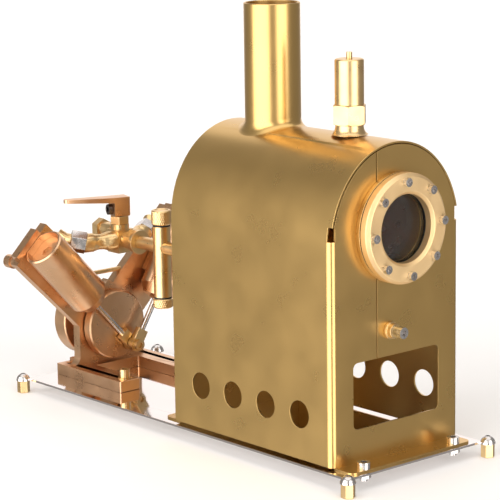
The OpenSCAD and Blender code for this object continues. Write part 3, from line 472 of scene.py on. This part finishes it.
def makeCylinder(side):
    lean = Vector(joints[side + "_stroke"]["axis"])
    low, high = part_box("cylinder_" + side)
    middle = (low + high) / 2
    softened("cylinder_" + side, "castBronze", engine["cylinderEdge"], lean, middle)
    softened("cylinder_trim_" + side, "castBronze", engine["fittingEdge"], lean, middle)
    softened("pivot_" + side, "brightSteel", engine["screwEdge"])
    softened("piston_" + side, "brightSteel", engine["screwEdge"], lean, middle)
    softened("rod_" + side, "brightSteel", engine["fineEdge"])
    softened("rod_end_" + side, "machinedBrass", engine["edge"])


def makeEngine():
    for node in ("engine_base", "engine_frame"):
        softened(node, "castBronze", engine["castEdge"], rounds=engine["castRounds"])
    softened("base_screws", "machinedBrass", engine["screwEdge"])
    softened("crank_bearing", "machinedBrass", engine["fittingEdge"], xAxis)
    softened("crankshaft", "brightSteel", engine["edge"], xAxis)
    crank = Vector(joints["crank_spin"]["pos_m"])
    for node in ("crank_disc", "flywheel"):
        softened(node, "castBronze", engine["turnedEdge"], xAxis, crank)
    softened("flywheel_grub_screw", "darkSteel", engine["grubEdge"])
    makeSprings()
    makeCylinder("left")
    makeCylinder("right")


makeEngine()
print("engine done")


studio = dict(floorSize=16.0, floorColour=(0.90, 0.90, 0.90), floorRoughness=0.9,
              surround=(0.30, 0.285, 0.27), boxSoftness=7.0)
# each softbox: azimuth and elevation limits in degrees, and how bright it is
softboxes = [dict(azimuth=(-32, 32), elevation=(-30, 40), bright=(3.1, 3.0, 2.9)),
             dict(azimuth=(70, 108), elevation=(-30, 40), bright=(2.9, 2.8, 2.7)),
             dict(azimuth=(-158, -106), elevation=(-2, 40), bright=(0.9, 0.84, 0.82)),
             dict(azimuth=(-200, 200), elevation=(58, 100), bright=(1.3, 1.27, 1.24)),
             dict(azimuth=(-200, 200), elevation=(-100, -36), bright=(0.50, 0.48, 0.46))]
camera = dict(place=(743.26, -635.18, 279.14), lens=156.12, sensor=36, clip=(0.05, 60),
              azimuth=49.198, elevation=11.397, roll=-0.859)


def makeFloor():
    bm = bmesh.new()
    bmesh.ops.create_grid(bm, x_segments=8, y_segments=8, size=studio["floorSize"] / 2)
    mesh = bpy.data.meshes.new("floor")
    bm.to_mesh(mesh)
    bm.free()
    material, tree, shader = freshMaterial("paleFloor")
    shader.inputs["Base Color"].default_value = (*studio["floorColour"], 1)
    shader.inputs["Roughness"].default_value = studio["floorRoughness"]
    mesh.materials.append(material)
    floor = bpy.data.objects.new("floor", mesh)
    bpy.context.scene.collection.objects.link(floor)
    floor.visible_glossy = False     # the metal sees the studio's grey surround instead
    floor.visible_shadow = False


# 1 between low and high, falling softly to 0 outside
def window(tree, value, low, high):
    soft = studio["boxSoftness"]
    rise = shaderNode(tree, "MapRange", {"Value": value, "From Min": low - soft, "From Max": low},
                      {"interpolation_type": "SMOOTHSTEP"}).outputs[0]
    fall = shaderNode(tree, "MapRange", {"Value": value, "From Min": high, "From Max": high + soft,
                                         "To Min": 1.0, "To Max": 0.0},
                      {"interpolation_type": "SMOOTHSTEP"}).outputs[0]
    return shaderNode(tree, "Math", {0: rise, 1: fall}, {"operation": "MULTIPLY"}).outputs[0]


def makeStudioLight():
    world = bpy.data.worlds.new("studio")
    bpy.context.scene.world = world
    world.use_nodes = True
    tree = world.node_tree
    direction = shaderNode(tree, "TexCoord").outputs["Generated"]
    parts = shaderNode(tree, "SeparateXYZ", {0: direction}).outputs
    back = shaderNode(tree, "Math", {0: parts[1], 1: -1.0}, {"operation": "MULTIPLY"}).outputs[0]
    turned = shaderNode(tree, "Math", {0: parts[0], 1: back}, {"operation": "ARCTAN2"}).outputs[0]
    azimuth = shaderNode(tree, "Math", {0: turned}, {"operation": "DEGREES"}).outputs[0]
    rise = shaderNode(tree, "Math", {0: parts[2]}, {"operation": "ARCSINE"}).outputs[0]
    elevation = shaderNode(tree, "Math", {0: rise}, {"operation": "DEGREES"}).outputs[0]
    total = shaderNode(tree, "CombineXYZ", dict(enumerate(studio["surround"]))).outputs[0]
    for box in softboxes:
        inside = shaderNode(tree, "Math", {0: window(tree, azimuth, *box["azimuth"]),
                                           1: window(tree, elevation, *box["elevation"])},
                            {"operation": "MULTIPLY"}).outputs[0]
        glow = shaderNode(tree, "VectorMath", {0: box["bright"], "Scale": inside},
                          {"operation": "SCALE"}).outputs[0]
        total = shaderNode(tree, "VectorMath", {0: total, 1: glow}, {"operation": "ADD"}).outputs[0]
    tree.links.new(total, tree.nodes["Background"].inputs["Color"])


def makeCamera():
    azimuth, elevation = math.radians(camera["azimuth"]), math.radians(camera["elevation"])
    roll = math.radians(camera["roll"])
    back = Vector((math.sin(azimuth) * math.cos(elevation),
                   -math.cos(azimuth) * math.cos(elevation), math.sin(elevation)))
    right = (-back).cross(zAxis).normalized()
    up = right.cross(-back)
    across = right * math.cos(roll) + up * math.sin(roll)
    upward = up * math.cos(roll) - right * math.sin(roll)
    data = bpy.data.cameras.new("camera")
    data.lens = camera["lens"]
    data.sensor_width = camera["sensor"]
    data.clip_start, data.clip_end = camera["clip"]
    eye = bpy.data.objects.new("camera", data)
    bpy.context.scene.collection.objects.link(eye)
    turn = Matrix((across, upward, back)).transposed().to_4x4()
    eye.matrix_world = Matrix.Translation(Vector(camera["place"]) * mm) @ turn
    bpy.context.scene.camera = eye


makeFloor()
makeStudioLight()
makeCamera()
bpy.context.scene.view_settings.view_transform = "Standard"
print("studio done")

bpy.context.view_layer.update()
